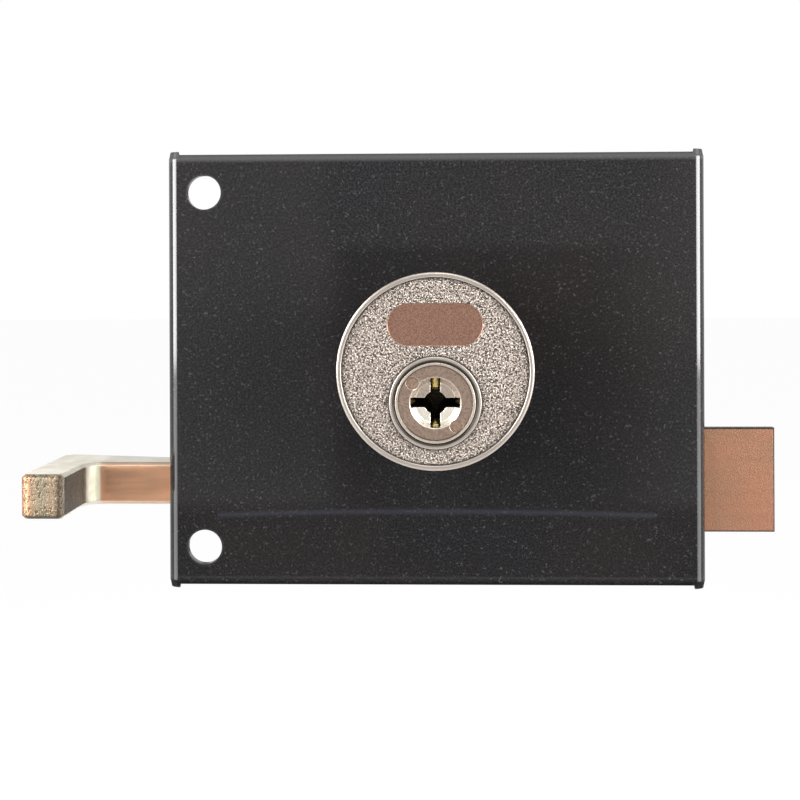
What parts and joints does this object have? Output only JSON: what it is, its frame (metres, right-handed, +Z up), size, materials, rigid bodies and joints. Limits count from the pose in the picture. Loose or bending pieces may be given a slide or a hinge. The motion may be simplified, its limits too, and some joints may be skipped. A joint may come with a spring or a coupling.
{
  "type": "rim box lock",
  "caption": "Surface-mounted rim lock: folded black case, round key cylinder, sprung bevelled latch bolt and bent draw bar pulled by hand.",
  "frame": {"origin": "centre of the case's height and width on its door face, the flat back that lies on the door", "axes": "+X from the draw bar towards the latch bolt, +Y into the door, -Y towards the room and the key, +Z up"},
  "size_m": [0.1387, 0.054, 0.082],
  "materials": {
    "case_paint": "semi-gloss black paint",
    "cylinder_metal": "satin, grained, nickel-bronze plated",
    "plug_metal": "satin, worn plating",
    "face_pin_metal": "dull",
    "pin_brass": "turned",
    "latch_bronze": "flat machined",
    "bar_plating": "yellow zinc plated, drawn",
    "spring_steel": "bright wire",
    "inner_steel": "zinc plated"
  },
  "bodies": {
    "case": {"face_plate": "case_paint", "back_cover": "case_paint", "cover_posts": "inner_steel", "cover_screws": "inner_steel", "cylinder_housing": "cylinder_metal", "cylinder_saddle": "inner_steel", "housing_screws": "inner_steel", "driver_pins": "pin_brass", "driver_springs": "spring_steel", "retractor_studs": "inner_steel", "latch_guide": "inner_steel", "spring_seat": "inner_steel"},
    "plug": {"plug": "plug_metal", "face_pins": "face_pin_metal", "key_pins": "pin_brass", "plug_clip": "spring_steel", "cam_arm": "inner_steel", "cam_pin": "inner_steel"},
    "retractor": {"retractor": "inner_steel"},
    "latch": {"latch_bolt": "latch_bronze", "latch_plate": "latch_bronze", "latch_pins": "inner_steel", "draw_bar": "bar_plating", "collar": "inner_steel", "collar_pin": "inner_steel", "latch_spring": "spring_steel"}
  },
  "joints": [
    {"name": "plug_turn", "type": "hinge", "parent": "case", "child": "plug", "pos_m": [0, -0.02, -0.0044], "axis": [0, 1, 0], "range_deg": [0, 90]},
    {"name": "retractor_slide", "type": "slide", "parent": "case", "child": "retractor", "axis": [1, 0, 0], "range_m": [-0.0135, 0], "stiffness_N_per_m": 400, "springref_m": 0.02},
    {"name": "latch_pull", "type": "slide", "parent": "retractor", "child": "latch", "axis": [1, 0, 0], "range_m": [-0.0135, 0], "stiffness_N_per_m": 400, "springref_m": 0.02, "deforming": ["latch_spring"]}
  ],
  "couplings": [
    {"joint": "plug_turn", "follows": "retractor_slide", "rad_per_m": -116.3}
  ]
}
